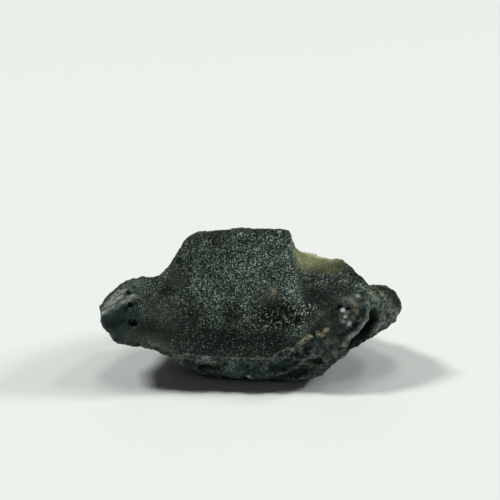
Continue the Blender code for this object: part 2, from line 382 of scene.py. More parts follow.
def surface_tree(name, inputs):
    """An empty Geometry Nodes tree with a Geometry socket each way and the named inputs' usual values."""
    tree = bpy.data.node_groups.new(name, "GeometryNodeTree")
    tree.interface.new_socket("Geometry", in_out="INPUT", socket_type="NodeSocketGeometry")
    for label, value in inputs.items():
        socket = tree.interface.new_socket(label, in_out="INPUT", socket_type=SOCKETS[type(value)])
        socket.default_value = value
    tree.interface.new_socket("Geometry", in_out="OUTPUT", socket_type="NodeSocketGeometry")
    return tree, tree.nodes.new("NodeGroupInput").outputs


def ended(tree, geometry):
    """The tree, giving out this geometry."""
    tree.links.new(geometry, tree.nodes.new("NodeGroupOutput").inputs[0])
    return tree


def moved_out(tree, geometry, height):
    """The geometry with each point moved along its normal by the height."""
    normal = add(tree, "GeometryNodeInputNormal").outputs["Normal"]
    inputs = {"Geometry": geometry, "Offset": vector_of(tree, "SCALE", normal, height)}
    return add(tree, "GeometryNodeSetPosition", inputs).outputs["Geometry"]


def named_value(tree, name):
    """The number that each point holds under this name."""
    node = add(tree, "GeometryNodeInputNamedAttribute", {"Name": name}, data_type="FLOAT")
    return node.outputs["Attribute"]


def set_inputs(modifier, group):
    """Sets each of the modifier's inputs from the property in the group that has the same name."""
    values = {group.bl_rna.properties[key].name: getattr(group, key) for key in group.__annotations__}
    for item in modifier.node_group.interface.items_tree:
        if item.in_out == "INPUT" and item.name in values:
            modifier[item.identifier] = values[item.name]


# ---------------------------------------------------------------- the old skin's weather

SMALLEST_PIT = 0.35  # as a share of the largest
PIT_ROUNDNESS = 1.5  # above 1 a pit's edge runs softly into the surface
# A noise bends the pits, so that they aren't true rounds: its scale, and how far it goes in metres.
WANDER_SCALE, WANDER = 1400.0, 0.0009


def lumps_tree():
    """Raises and sinks the surface by a noise, as far as a mask on its points allows."""
    tree, given = surface_tree(
        "lumps", {"Mask": "skin", "Size": 0.002, "Height": 0.0002, "Detail": 2.0, "Shift": 0.0}
    )
    inputs = {
        "Vector": add(tree, "GeometryNodeInputPosition").outputs["Position"],
        "W": given["Shift"],
        "Scale": math_of(tree, "DIVIDE", 1.0, given["Size"]),
        "Detail": given["Detail"],
    }
    wave = add(tree, "ShaderNodeTexNoise", inputs, noise_dimensions="4D").outputs["Fac"]
    wave = math_of(tree, "MULTIPLY_ADD", wave, 2.0, -1.0)
    height = times(tree, wave, given["Height"], named_value(tree, given["Mask"]))
    return ended(tree, moved_out(tree, given["Geometry"], height))


def pits_tree():
    """Presses round hollows of many sizes into the surface, as often as a mask on its points says."""
    tree, given = surface_tree(
        "pits", {"Mask": "skin", "Count per area": 300000.0, "Radius": 0.0008, "Depth": 0.0003, "Seed": 0}
    )
    shape, seed = given["Geometry"], given["Seed"]
    mask = named_value(tree, given["Mask"])
    inputs = {"Mesh": shape, "Density": times(tree, given["Count per area"], mask), "Seed": seed}
    centres = add(tree, "GeometryNodeDistributePointsOnFaces", inputs).outputs["Points"]
    place = add(tree, "GeometryNodeInputPosition").outputs["Position"]
    nearest = add(tree, "GeometryNodeSampleNearest", {"Geometry": centres}).outputs["Index"]

    def of_nearest(value, kind):
        """The value at the pit centre that is nearest to each point."""
        inputs = {"Geometry": centres, "Value": value, "Index": nearest}
        return add(tree, "GeometryNodeSampleIndex", inputs, data_type=kind).outputs["Value"]

    inputs = {"Min": SMALLEST_PIT, "Max": 1.0, "Seed": seed}
    share = add(tree, "FunctionNodeRandomValue", inputs, data_type="FLOAT").outputs["Value"]
    centre, size = of_nearest(place, "FLOAT_VECTOR"), of_nearest(share, "FLOAT")
    inputs = {"Vector": place, "Scale": WANDER_SCALE, "Detail": 1.0}
    wander = add(tree, "ShaderNodeTexNoise", inputs).outputs["Color"]
    wander = vector_of(tree, "SCALE", vector_of(tree, "ADD", wander, (-0.5, -0.5, -0.5)), WANDER)
    gap = vector_of(tree, "DISTANCE", vector_of(tree, "ADD", place, wander), centre, "Value")
    part = math_of(tree, "DIVIDE", gap, times(tree, size, given["Radius"]), clamp=True)
    bowl = math_of(tree, "SUBTRACT", 1.0, times(tree, part, part))
    bowl = math_of(tree, "POWER", bowl, PIT_ROUNDNESS)
    sink = times(tree, bowl, size, given["Depth"], mask, -1.0)
    return ended(tree, moved_out(tree, shape, sink))


def weather_tree(finish):
    """Ever smaller lumps and pits on the old skin, faint lumps in the dish, and the finish on it all."""
    tree, given = surface_tree(
        "weathered_skin",
        {
            "Lump size": 0.002,
            "Lump height": 0.0002,
            "Dish lump height": 0.00003,
            "Pit radius": 0.0008,
            "Pit depth": 0.0003,
            "Pit count": 70000.0,
            "Small pit count": 400000.0,
            "Seed": 0,
        },
    )
    lumps, pits = lumps_tree(), pits_tree()

    def lumped(shape, mask, size, height, taller="Lump height", **rest):
        """The shape with a layer of lumps, their size and height as shares of what is given."""
        size, height = times(tree, given["Lump size"], size), times(tree, given[taller], height)
        inputs = {"Geometry": shape, "Mask": mask, "Size": size, "Height": height, **rest}
        return add(tree, "GeometryNodeGroup", inputs, node_tree=lumps).outputs["Geometry"]

    def pitted(shape, count, radius, depth):
        """The shape with a layer of pits, their radius and depth as shares of what is given."""
        inputs = {
            "Geometry": shape,
            "Mask": "skin",
            "Count per area": given[count],
            "Radius": times(tree, given["Pit radius"], radius),
            "Depth": times(tree, given["Pit depth"], depth),
            "Seed": given["Seed"],
        }
        return add(tree, "GeometryNodeGroup", inputs, node_tree=pits).outputs["Geometry"]

    shape = lumped(given["Geometry"], "skin", size=1.0, height=1.0)
    shape = pitted(shape, "Pit count", radius=1.0, depth=1.0)
    shape = lumped(shape, "skin", size=0.5, height=1.5, Detail=3.0, Shift=3.0)
    shape = pitted(shape, "Small pit count", radius=0.6, depth=0.5)
    shape = lumped(shape, "skin", size=0.25, height=0.9, Shift=7.0)
    shape = lumped(shape, "dish", size=0.30, height=1.0, taller="Dish lump height", Shift=5.0)
    whole = add(tree, "GeometryNodeRealizeInstances", {"Geometry": shape}).outputs["Geometry"]
    done = add(tree, "GeometryNodeSetMaterial", {"Geometry": whole, "Material": finish})
    return ended(tree, done.outputs["Geometry"])


# ---------------------------------------------------------------- the glass

# Each wave is a noise from 0 to 1, as (size of its humps in mm, detail, roughness, shift).
WAVES = {"fine": (0.20, 1.0, 0.6, 0.0), "middle": (0.60, 2.0, 0.5, 8.0)}
# Each pattern is such a wave, then two of its values and what the pattern is at each.
PATTERNS = {
    "frost": (3.0, 3.0, 0.6, 2.0, 0.30, 0.70, 0.34, 0.66),
    "mottle": (0.45, 4.0, 0.8, 7.0, 0.38, 0.66, 0.0, 1.0),
    "areas": (2.2, 2.0, 0.5, 19.0, 0.42, 0.60, 0.25, 1.0),
    "ridges": (0.35, 3.0, 0.75, 5.0, 0.44, 0.64, 0.0, 1.0),
    "flecks": (0.24, 2.0, 0.6, 13.0, 0.58, 0.66, 0.0, 1.0),
    "cracks": (0.32, 2.0, 0.6, 17.0, 0.36, 0.45, 0.85, 0.0),
    "soil": (1.8, 2.0, 0.5, 9.0, 0.50, 0.68, 0.0, 1.0),
    "sheen": (1.6, 3.0, 0.6, 15.0, 0.35, 0.65, 0.3, 1.0),
    "broken": (0.45, 3.0, 0.65, 11.0, 0.40, 0.62, 0.1, 1.0),
    "matt": (1.2, 2.0, 0.5, 4.0, 0.30, 0.70, 0.34, 0.50),
}
MOST_FROST = 1.3
# The dish's grains, painted as the bright glints that its etched pits give under the lamps, as (size in
# mm, how rare the bright ones are, growth with frost or glint, the least).
PAINTED_GRAIN_GLINTS = (0.115, 8.0, 0.98, 0.05)
PAINTED_GLINTS = (0.16, 14.0, 2.8, 0.18)
# WARM_GRAINS: the browner among the painted glints.
WARM_GRAINS = (0.17, 0.72, 0.78)  # size in mm, and where their green number starts to count and is whole
# The hollows' bottoms take painted shade, and the peaks take wear and painted highlights.
# How far up from a hollow's bottom to a peak, from 0 to 1, each part of the old skin starts and is whole.
LEVEL, FLECK, RIDGE = (0.12, 0.62), (0.35, 0.60), (0.55, 0.85)
RIDGE_WEAR, FLECK_WEAR, SOIL = 0.7, 0.8, 0.6
WARM_WAVE = (0.35, 0.65, 0.5, 0.9)  # two values of the fine wave, and how far the warm tint goes at each
GLOSS = {"IOR": 1.5, "Specular IOR Level": 0.09, "Specular Tint": (0.82, 1.0, 0.87, 1.0)}
BUMP_HEIGHT = 0.16 * MM
MIDDLE_BUMP = 0.6  # the middle wave's share of the bump beside the fine one
DISH_BUMP, SKIN_BUMP = 0.8, 1.6


def etched_glass(colours):
    """The stone's finish: black glass, matt and grainy in the dish, mottled on the old skin, with glints,
    highlights, reflections, shade and light through thin glass painted into its colour.
    """
    made = bpy.data.materials.new("etched_black_glass")
    made.use_nodes = True
    tree = made.node_tree
    shader = tree.nodes["Principled BSDF"]
    place = add(tree, "ShaderNodeTexCoord").outputs["Object"]
    tint = {name: (*getattr(colours, name), 1.0) for name in colours.__annotations__}

    def mask(name):
        """The number that the stone's points hold under this name."""
        return add(tree, "ShaderNodeAttribute", attribute_name=name).outputs["Fac"]

    def wave(size, detail, rough, shift):
        """A noise, as in WAVES."""
        scale = 1 / (size * MM)
        inputs = {"Vector": place, "Scale": scale, "Detail": detail, "Roughness": rough, "W": shift}
        return add(tree, "ShaderNodeTexNoise", inputs, noise_dimensions="4D").outputs["Fac"]

    def pattern(name):
        """The pattern of this name in PATTERNS."""
        return ramp_of(tree, wave(*PATTERNS[name][:4]), *PATTERNS[name][4:])

    def cells(size, channel="Red"):
        """A number of its own, from 0 to 1, for each small grain."""
        node = add(tree, "ShaderNodeTexVoronoi", {"Vector": place, "Scale": 1 / (size * MM)})
        return add(tree, "ShaderNodeSeparateColor", {"Color": node.outputs["Color"]}).outputs[channel]

    def scattered(amount, size, rarity, growth, least):
        """Painted glints: grains that are few and bright, and stronger where there is more of the amount.
        """
        amount = math_of(tree, "MULTIPLY_ADD", amount, growth, least)
        return times(tree, amount, math_of(tree, "POWER", cells(size), rarity))

    def standing(limits):
        """0 in the old skin's hollows and 1 on its peaks, with the change between the limits."""
        return ramp_of(tree, hollow, *limits)

    def mix(share, first, second):
        """The first colour where the share is 0, and the second where it is 1."""
        inputs = {"Factor": share, "A": first, "B": second}
        return add(tree, "ShaderNodeMix", inputs, data_type="RGBA").outputs["Result"]

    def sum_of(first, second, most=1.0):
        """The two added, kept between 0 and the most."""
        both = math_of(tree, "ADD", first, second)
        return add(tree, "ShaderNodeClamp", {"Value": both, "Min": 0.0, "Max": most}).outputs[0]

    skin, hollow = mask("skin"), mask("hollow")
    fine = wave(*WAVES["fine"])

    # The dish: black glass under a thin haze of frost, with grains in it painted bright as the glints they
    # give under the lamps, and painted shade where the shade marks thin the frost and its grains.
    more_frost = math_of(tree, "SUBTRACT", mask("frost"), mask("shade"))
    level = sum_of(pattern("frost"), more_frost, MOST_FROST)
    dish = mix(level, tint["glass"], tint["frost"])
    grains = math_of(tree, "ADD", scattered(level, *PAINTED_GRAIN_GLINTS), scattered(mask("glint"), *PAINTED_GLINTS))
    grains = times(tree, grains, math_of(tree, "SUBTRACT", 1.0, mask("smooth")))
    warm_size, *warm_limits = WARM_GRAINS
    warmer = ramp_of(tree, cells(warm_size, "Green"), *warm_limits)
    dish = mix(sum_of(grains, 0.0), dish, mix(warmer, tint["grain"], tint["warm_grain"]))

    # The old skin: mottled, with painted shade making it black in its hollows, and pale on its ridges from
    # wear and painted highlights.
    level_part, areas = standing(LEVEL), pattern("areas")
    old = mix(times(tree, pattern("mottle"), level_part, areas), tint["hollow"], tint["skin"])
    old = mix(times(tree, standing(RIDGE), pattern("ridges"), areas, RIDGE_WEAR), old, tint["worn"])
    old = mix(times(tree, pattern("flecks"), standing(FLECK), areas, FLECK_WEAR), old, tint["worn"])
    old = mix(pattern("cracks"), old, tint["hollow"])
    old = mix(times(tree, pattern("soil"), SOIL, level_part), old, tint["rust"])

    # Both under what the marks add, each one over those before it.
    colour = mix(skin, dish, old)
    broken = pattern("broken")
    layers = [
        # Painted reflection and shade.
        (times(tree, mask("sheen"), pattern("sheen")), "sheen"),
        (times(tree, mask("warm"), ramp_of(tree, fine, *WARM_WAVE)), "rust"),
        # Pale wear, and painted light on lit faces and edges.
        (times(tree, mask("worn"), broken), "worn"),
        (times(tree, mask("clay"), broken), "clay"),
        # Painted light coming through the thin edge.
        (mask("thin"), "painted_light_through_glass"),
        # Painted highlights.
        (mask("white"), "white"),
        # Painted deep shade.
        (mask("dark"), "glass"),
    ]
    for share, name in layers:
        colour = mix(share, colour, tint[name])
    tree.links.new(colour, shader.inputs["Base Color"])

    tree.links.new(pattern("matt"), shader.inputs["Roughness"])
    for name, value in GLOSS.items():
        shader.inputs[name].default_value = value
    height = math_of(tree, "MULTIPLY_ADD", wave(*WAVES["middle"]), MIDDLE_BUMP, fine)
    height = times(tree, height, ramp_of(tree, skin, 0.0, 1.0, DISH_BUMP, SKIN_BUMP))
    bump = add(tree, "ShaderNodeBump", {"Strength": 1.0, "Distance": BUMP_HEIGHT, "Height": height})
    tree.links.new(bump.outputs["Normal"], shader.inputs["Normal"])
    return made


# ---------------------------------------------------------------- the stone

# Places in the view that more than one line or mark runs through.
CLAY_RIDGE_LEFT = [(7.3, 7.2), (7.9, 7.6), (8.5, 8.2), (9.2, 8.4)]
CLAY_RIDGE_RIGHT = [(10.2, 8.9), (10.8, 8.8), (11.5, 9.4)]
LIP_CURL_HIGH = [(4.9, 6.1), (5.4, 6.4), (6.0, 6.6), (6.4, 6.4)]
LIP_CURL_LOW = [(3.4, 5.0), (3.9, 5.7), (4.8, 6.2)]
LIP_LINE = [(-9.8, 5.75), (-6.0, 5.3), (-2.0, 5.15), (3.4, 5.1)]
CAVE_TOP = [(-8.0, 4.7), (-7.0, 4.6), (-6.0, 4.6)]
LOW_RIDGE = [(2.7, 2.8), (3.6, 2.7), (4.6, 3.0), (5.8, 3.5), (7.0, 3.9), (8.0, 4.8), (9.1, 5.5),
             (10.5, 5.4), (11.2, 4.8)]
UNDERCUT = [(6.2, 2.6), (7.0, 2.9), (8.0, 3.0)]
MIDDLE_STREAK = [(-20.8, 12.9), (-19.9, 14.0), (-18.5, 15.4)]
INNER_STREAK = [(-20.1, 13.0), (-19.0, 13.9), (-18.3, 14.4)]
GAP_FLOOR = [(18.5, 11.3), (18.1, 10.4), (17.5, 9.3), (16.6, 8.3), (15.6, 7.4)]
# Each line is (name, places in the view, radius in mm, rise in mm, sharpness of its edge). A later line is
# pressed into what the earlier ones left, so their order counts.
LINES = [
    ("gap_edge", [(17.6, 13.5), (17.6, 12.3), (17.3, 11.4), (16.7, 10.4), (16.0, 9.4), (15.2, 8.6),
                  (14.4, 7.9)], 0.65, 0.35, 1),
    ("gap", [(18.45, 11.7), (18.2, 10.7), (17.7, 9.6), (16.9, 8.5), (15.8, 7.6),
             (15.3, 7.0)], 1.2, -1.6, 2),
    ("gap_side", [(19.7, 11.4), (19.2, 10.0), (18.8, 9.3)], 0.6, 0.15, 1),
    ("clay_ridge", CLAY_RIDGE_LEFT, 0.4, 0.25, 1),
    ("clay_ridge", CLAY_RIDGE_RIGHT, 0.45, 0.22, 1),
    ("lip_curl", LIP_CURL_HIGH, 0.35, 0.22, 1),
    ("lip_curl", LIP_CURL_LOW, 0.35, 0.22, 1),
    ("lip", LIP_LINE, 0.45, 0.16, 1),
    ("cave", [(-7.5, 3.7), (-6.6, 3.7), (-5.3, 3.5)], 1.0, -0.8, 2),
    ("cave_top", CAVE_TOP, 0.4, 0.2, 1),
    ("lump", [(-3.2, 4.0), (-1.8, 3.4)], 1.4, 0.3, 1),
    ("lump", [(1.2, 4.2), (2.2, 3.8)], 1.1, 0.25, 1),
    ("hollow", [(3.6, 3.8), (5.2, 4.1)], 1.0, -0.4, 1),
    ("low_ridge", LOW_RIDGE, 0.4, 0.3, 1),
    ("undercut", UNDERCUT, 0.9, -0.7, 2),
    ("hollow", [(9.8, 4.6), (10.6, 4.9)], 0.8, -0.35, 1),
    ("hollow", [(8.4, 6.4), (9.0, 6.7)], 0.7, -0.3, 1),
    ("hollow", [(5.8, 5.4), (6.4, 5.6)], 0.6, -0.25, 1),
    ("lump", [(12.6, 5.9)], 1.1, 0.2, 1),
    ("hollow", [(14.8, 12.8)], 0.45, -0.4, 2),
    ("lump", [(14.6, 11.6), (14.9, 10.2)], 1.0, 0.2, 1),
    ("lump", [(16.2, 14.2), (15.2, 13.4)], 0.9, 0.2, 1),
    ("dent", [(12.4, 11.2), (11.0, 10.4)], 1.4, -0.25, 1),
    ("left_ridge", [(-22.0, 11.8), (-21.0, 12.3), (-20.2, 12.7), (-19.5, 13.2), (-18.7, 13.5),
                    (-17.8, 14.1), (-17.0, 14.4)], 0.6, 0.35, 1),
    ("left_flat", [(-20.6, 10.4), (-18.9, 11.4)], 1.7, -0.35, 1),
    ("left_pit", [(-17.8, 10.5), (-17.3, 10.5)], 0.6, -0.8, 2),
    ("streak", [(-21.6, 12.9), (-20.5, 14.2), (-19.3, 15.4)], 0.3, 0.14, 1),
    ("streak", MIDDLE_STREAK, 0.3, 0.14, 1),
    ("streak", INNER_STREAK, 0.3, 0.12, 1),
    ("left_hole", [(-18.3, 15.0)], 0.4, -0.4, 2),
    ("left_hole", [(-18.1, 13.3)], 0.4, -0.35, 2),
    ("left_hole", [(-17.2, 15.8)], 0.4, -0.35, 2),
    ("arris", [(5.4, 23.4), (5.7, 20.5), (6.0, 17.8), (6.6, 15.4), (7.9, 13.2)], 1.3, 0.15, 1),
]
# Each mask's marks, as (places in the view, radius in mm, amount).
MARKS = {
    "warm": [
        ([(-13.5, 12.0)], 4.0, 0.4),
        ([(-13.0, 9.0)], 3.5, 0.4),
        ([(-11.0, 17.5)], 2.5, 0.9),
        ([(3.0, 14.5)], 2.5, 0.4),
        ([(7.6, 15.0)], 2.0, 0.6),
        ([(11.4, 10.6)], 2.6, 0.7),
        ([(16.0, 13.2)], 0.9, 1.0),
        ([(20.4, 12.6)], 1.6, 0.6),
        ([(-18.0, 8.8), (-15.5, 8.8)], 1.8, 0.5),
    ],
    "clay": [
        (CLAY_RIDGE_LEFT, 0.45, 1.1),
        (CLAY_RIDGE_RIGHT, 0.5, 0.8),
        (LIP_CURL_HIGH, 0.35, 0.6),
        ([(3.2, 15.7), (3.6, 15.2)], 0.45, 0.6),
        ([(17.7, 15.2), (18.6, 15.2)], 0.4, 0.9),
        ([(19.6, 15.1), (19.9, 14.9)], 0.35, 0.9),
        ([(-0.6, 2.6), (0.0, 2.4)], 0.4, 0.4),
        ([(-10.2, 5.0)], 0.3, 0.5),
        ([(20.2, 14.4), (21.0, 13.4), (21.2, 12.0)], 0.5, 0.35),
        ([(14.6, 14.2), (15.8, 13.2), (16.0, 12.4)], 0.5, 0.3),
    ],
    # Partly pale wear along streaks and rubbed ridges, partly painted light: the lip's light line, the left
    # ridge's line, the broad marks on the tops of both lobes, the gap's edges and the rim at lower right.
    "worn": [
        ([(17.7, 13.5), (17.7, 12.3), (17.4, 11.4), (16.8, 10.4), (16.1, 9.4), (15.2, 8.6),
          (14.4, 7.9), (14.1, 7.1)], 0.55, 1.1),
        ([(19.6, 11.3), (19.2, 10.2), (18.7, 9.5), (17.5, 8.5), (16.6, 7.7)], 0.5, 0.9),
        ([(18.9, 9.5), (19.8, 10.6)], 0.8, 1.0),
        ([(21.8, 12.6), (22.2, 11.6)], 0.9, 0.7),
        (LIP_CURL_LOW, 0.35, 0.6),
        (LIP_LINE, 0.35, 0.5),
        ([(-7.2, 5.2), (-6.0, 5.0)], 0.5, 0.4),
        (CAVE_TOP, 0.4, 0.25),
        (LOW_RIDGE, 0.4, 0.55),
        ([(12.6, 5.9)], 1.2, 0.35),
        ([(10.6, 7.0), (14.4, 6.8)], 2.0, 0.28),
        ([(-22.4, 11.7), (-21.0, 12.3), (-20.2, 12.7), (-19.5, 13.2), (-18.7, 13.5), (-17.8, 14.1),
          (-17.0, 14.4)], 0.5, 1.0),
        ([(-21.8, 12.8), (-20.5, 14.2), (-19.3, 15.4)], 0.35, 1.2),
        (MIDDLE_STREAK, 0.35, 1.2),
        (INNER_STREAK, 0.35, 1.0),
        ([(-21.3, 12.6), (-20.2, 13.2), (-19.2, 14.2)], 0.3, 1.0),
        ([(-16.4, 16.6)], 0.7, 0.4),
        ([(18.6, 13.9), (20.4, 13.0), (20.6, 11.4)], 2.6, 0.8),
        ([(13.6, 14.4), (16.6, 13.6)], 2.0, 0.3),
        ([(15.6, 12.6), (14.6, 11.2)], 1.8, 0.25),
        ([(19.8, 14.6), (21.0, 13.2)], 1.2, 0.35),
        ([(-21.0, 13.2), (-19.0, 15.2), (-16.5, 16.3)], 1.8, 0.38),
        ([(-20.0, 13.6), (-18.4, 14.6)], 1.6, 0.16),
        ([(-7.0, 22.8), (-7.6, 21.4)], 0.4, 0.3),
        ([(-8.0, 19.6), (-8.5, 18.4)], 0.4, 0.3),
        ([(-18.4, 8.4), (-15.6, 8.0), (-14.0, 8.2)], 1.6, 0.12),
    ],
    # Painted highlights: nearly white glints on chips, sharp edges and the left pit's bottom.
    "white": [
        ([(17.6, 12.2), (17.4, 11.3), (16.1, 9.4), (15.0, 8.4)], 0.45, 0.22),
        ([(18.9, 9.6), (19.5, 10.2)], 0.5, 0.14),
        ([(-6.4, 5.2)], 0.25, 0.2),
        ([(-4.6, 2.3)], 0.25, 0.3),
        ([(-0.2, 2.6)], 0.25, 0.3),
        ([(3.3, 2.9)], 0.2, 0.5),
        ([(-22.2, 12.6), (-21.0, 14.1), (-19.7, 15.4)], 0.25, 0.22),
        ([(-21.5, 13.0), (-20.3, 14.3), (-18.9, 15.5)], 0.25, 0.26),
        ([(-20.8, 13.4), (-20.0, 14.0), (-19.2, 14.4)], 0.35, 0.42),
        ([(-22.0, 12.0), (-20.4, 12.8), (-18.9, 13.5), (-17.4, 14.4)], 0.4, 0.4),
        ([(13.9, 12.5)], 0.45, 0.8),
        ([(14.3, 11.4)], 0.35, 0.9),
        ([(14.9, 10.4)], 0.5, 0.5),
        ([(14.0, 10.7)], 0.4, 0.2),
        ([(16.2, 14.5)], 0.4, 0.4),
        ([(-17.45, 10.0)], 0.3, 0.8),
        ([(-22.1, 12.0)], 0.4, 0.7),
        ([(-17.7, 14.5)], 0.35, 0.8),
        ([(-1.4, 23.9)], 0.25, 0.7),
        ([(4.2, 24.2), (4.6, 24.2)], 0.2, 0.6),
    ],
    # Painted shade: black glass where the gap under the right lobe, the right scoop and a patch at the
    # upper left lie in deep shade.
    "dark": [
        (GAP_FLOOR, 0.85, 0.5),
        ([(9.5, 14.1), (13.0, 14.1)], 1.8, 0.3),
        ([(-17.0, 15.4), (-13.0, 16.2)], 2.0, 0.25),
    ],
    # Painted reflection and shade: the bluish reflection on the left facet, and teal black where shade
    # falls in the gap, the undercut, the hollows and along the lower rim.
    "sheen": [
        (GAP_FLOOR, 1.1, 1.0),
        ([(-6.4, 3.2), (-3.0, 2.8), (1.0, 2.8), (5.0, 2.8)], 1.3, 0.7),
        ([(-21.3, 11.3), (-20.0, 10.2), (-19.0, 9.2)], 2.4, 1.1),
        ([(-21.4, 11.2), (-19.4, 11.6)], 1.8, 1.4),
        ([(-17.4, 12.0), (-16.6, 11.2)], 1.3, 1.3),
        ([(3.4, 3.8), (5.2, 4.1)], 1.1, 0.8),
        (UNDERCUT, 1.1, 0.7),
        ([(-3.2, 4.2), (-1.8, 3.6), (-0.6, 3.4)], 1.2, 0.5),
        ([(9.4, 6.2), (10.2, 7.2)], 1.3, 0.5),
    ],
    # More etched frost, partly painted light: these marks also lighten the parts of the dish that catch
    # more light.
    "frost": [
        ([(-1.0, 18.0), (3.0, 21.0)], 4.5, 0.55),
        ([(5.4, 21.5), (5.9, 17.8), (6.6, 14.5)], 2.0, 0.4),
        ([(9.5, 17.5), (13.0, 17.0)], 2.5, 0.4),
        ([(-5.0, 17.0), (-4.0, 14.0)], 3.0, 0.15),
        ([(2.0, 8.6), (5.0, 8.4)], 2.4, 0.2),
    ],
    # Painted glints: more and brighter grains where the dish sparkles under the lamps.
    "glint": [
        ([(5.4, 15.8), (7.0, 13.6), (8.0, 12.8)], 2.4, 0.34),
        ([(7.0, 10.4), (3.0, 11.0), (-1.0, 12.6)], 2.4, 0.15),
        ([(-6.0, 12.0), (-8.5, 18.0)], 2.6, 0.12),
    ],
    # Painted shade: each mark thins the frost and its grains where the dish lies in shade.
    "shade": [
        ([(-9.0, 7.2), (-2.0, 6.6), (4.0, 7.0)], 5.0, 0.85),
        ([(6.0, 11.6), (2.0, 11.3)], 3.0, 0.8),
        ([(-5.5, 11.4), (-2.0, 12.0)], 2.8, 0.38),
        ([(8.8, 11.8)], 2.2, 0.9),
        ([(12.0, 15.9), (14.5, 15.0)], 1.9, 0.65),
        ([(9.0, 14.2), (13.0, 14.2)], 2.4, 0.9),
        ([(-12.5, 15.5)], 3.0, 0.55),
        ([(-12.5, 9.0), (-9.5, 11.0)], 4.0, 0.5),
        ([(-11.5, 13.0), (-9.0, 14.0)], 2.5, 0.25),
        ([(-16.5, 9.2), (-12.0, 9.0)], 3.0, 0.4),
        ([(-10.0, 19.0), (-11.5, 16.5)], 2.6, 0.35),
        ([(11.0, 13.0), (14.0, 13.0)], 1.8, 0.6),
    ],
    "smooth": [
        ([(-20.5, 10.8), (-18.6, 9.6)], 2.8, 1.5),
        ([(-14.8, 13.5), (-14.6, 11.0)], 2.2, 0.6),
        ([(-17.5, 9.0), (-13.5, 9.0)], 2.6, 0.8),
    ],
}
NARROW = 1  # in mm: a mark narrower than this has a crisper edge
# A noise keeps the pressed lines from being even: its seed, the size of its waves, and how far it goes.
WAVER_SEED, WAVER_SIZE, WAVER = 1, 0.9 * MM, 0.32 * MM

# Each limit of the dish and the old skin is (where it starts, how far on it is whole) in mm, and runs the
# other way where that is below 0. Left and right are places across in the row's frame. The skin's lumps
# start above the ground, so that the keel stays flat.
DISH_FROM_EDGES, DISH_DEPTH = (0.1, 0.8), (5.5, -1.5)
DISH_LEFT, DISH_RIGHT = (-18.0, 2.0), (18.6, -1.2)
SKIN_FROM_GROUND = (0.15, 0.8)
SMOOTHED = 0.85  # the share of its lumps and pits that smooth glass loses
MASK_ROUNDS = 4

# How much light the thin top edge lets through, painted into its colour, as (x in mm in the row's frame,
# amount).
THIN = [(5.4, 0.0), (6.2, 0.1), (7.5, 0.8), (8.8, 1.0), (11.5, 0.9), (13.4, 0.35), (15.0, 0.0)]
THIN_LEFT, THIN_RIGHT = 5.0 * MM, 15.5 * MM  # the stretch of the crest that it lies along
THIN_WIDTH = 3.3 * MM
THIN_FALL = 1.2  # above 1 the light falls off faster near the edge
THIN_FACING, THIN_LEAST = 0.6, 0.35  # light on a surface that faces up, and at the least

# Rounds that make the level surface, rounds that soften the result, and how far a peak stands off its foot.
LEVEL_ROUNDS, SOFT_ROUNDS = 8, 2
PEAK_HEIGHT = 0.12 * MM


def ramped(values, start, width):
    """0 up to the start and 1 from a width past it, for values in metres and limits in mm."""
    return np.clip((values / MM - start) / width, 0, 1)


def dish_mask(points):
    """How far each point belongs to the dish, from 0 to 1, by its place between the lip and the crest."""
    x = points[:, 0]
    low, high = (
        np.stack([np.interp(x, line[:, 0], line[:, axis]) for axis in (1, 2)], axis=1)
        for line in (placed(dense(LIP)), placed(dense(CREST)))
    )
    span = high - low
    reach = np.maximum(np.linalg.norm(span, axis=1), TINY)
    across = span / reach[:, None]
    away = points[:, 1:] - low
    along = (away * across).sum(axis=1)
    depth = away[:, 0] * across[:, 1] - away[:, 1] * across[:, 0]
    dish = ramped(np.minimum(along, reach - along), *DISH_FROM_EDGES) * ramped(depth, *DISH_DEPTH)
    return dish * (ramped(x, *DISH_RIGHT) * ramped(x, *DISH_LEFT))


def thin_mask(points, normals):
    """How much painted light comes through at each point of the thin top edge."""
    crest = placed(dense(CREST))
    edge = crest[(crest[:, 0] > THIN_LEFT) & (crest[:, 0] < THIN_RIGHT)]
    found, gap = near_line(points, edge, THIN_WIDTH)
    amount = np.interp(points[found, 0] / MM, *np.transpose(THIN))
    facing = np.clip(THIN_FACING - normals[found, 1], THIN_LEAST, 1)
    thin = np.zeros(len(points))
    thin[found] = amount * facing * (1 - gap / THIN_WIDTH) ** THIN_FALL
    return thin


def marked(points, surface, mask):
    """How strong the mask's marks are at each point."""
    values = np.zeros(len(points))
    for places, radius, amount in MARKS[mask]:
        found, gap = near_line(points, seen(surface, mask, places), radius * MM)
        near = (1 - (gap / (radius * MM)) ** 2) ** (1 if radius < NARROW else 2)
        values[found] = np.maximum(values[found], amount * near)
    return values


def keep_masks(mesh, surface):
    """Keeps the masks that the skin's nodes and the finish read."""
    points = read(mesh)
    masks = {mask: marked(points, surface, mask) for mask in MARKS}
    masks["thin"] = thin_mask(points, read(mesh, "normal"))
    dish = dish_mask(points)
    rough = 1 - SMOOTHED * np.minimum(masks["smooth"], 1)
    masks["dish"] = spread(mesh, dish, MASK_ROUNDS)
    masks["skin"] = spread(mesh, (1 - dish) * ramped(points[:, 2], *SKIN_FROM_GROUND) * rough, MASK_ROUNDS)
    for mask, values in masks.items():
        keep(mesh, mask, values)


def press_lines(mesh, surface):
    """Moves the surface in or out along each line, with a slightly wavering edge."""
    noise.seed_set(WAVER_SEED)
    bent = read(mesh)
    bent = bent + [WAVER * noise.noise_vector(Vector(point) / WAVER_SIZE) for point in bent]
    for name, places, radius, rise, sharpness in LINES:
        points, normals = read(mesh), read(mesh, "normal")
        found, gap = near_line(bent, seen(surface, name, places), radius * MM)
        near = (1 - (gap / (radius * MM)) ** (2 * sharpness)) ** 2
        points[found] += normals[found] * (rise * MM * near)[:, None]
        write(mesh, points)


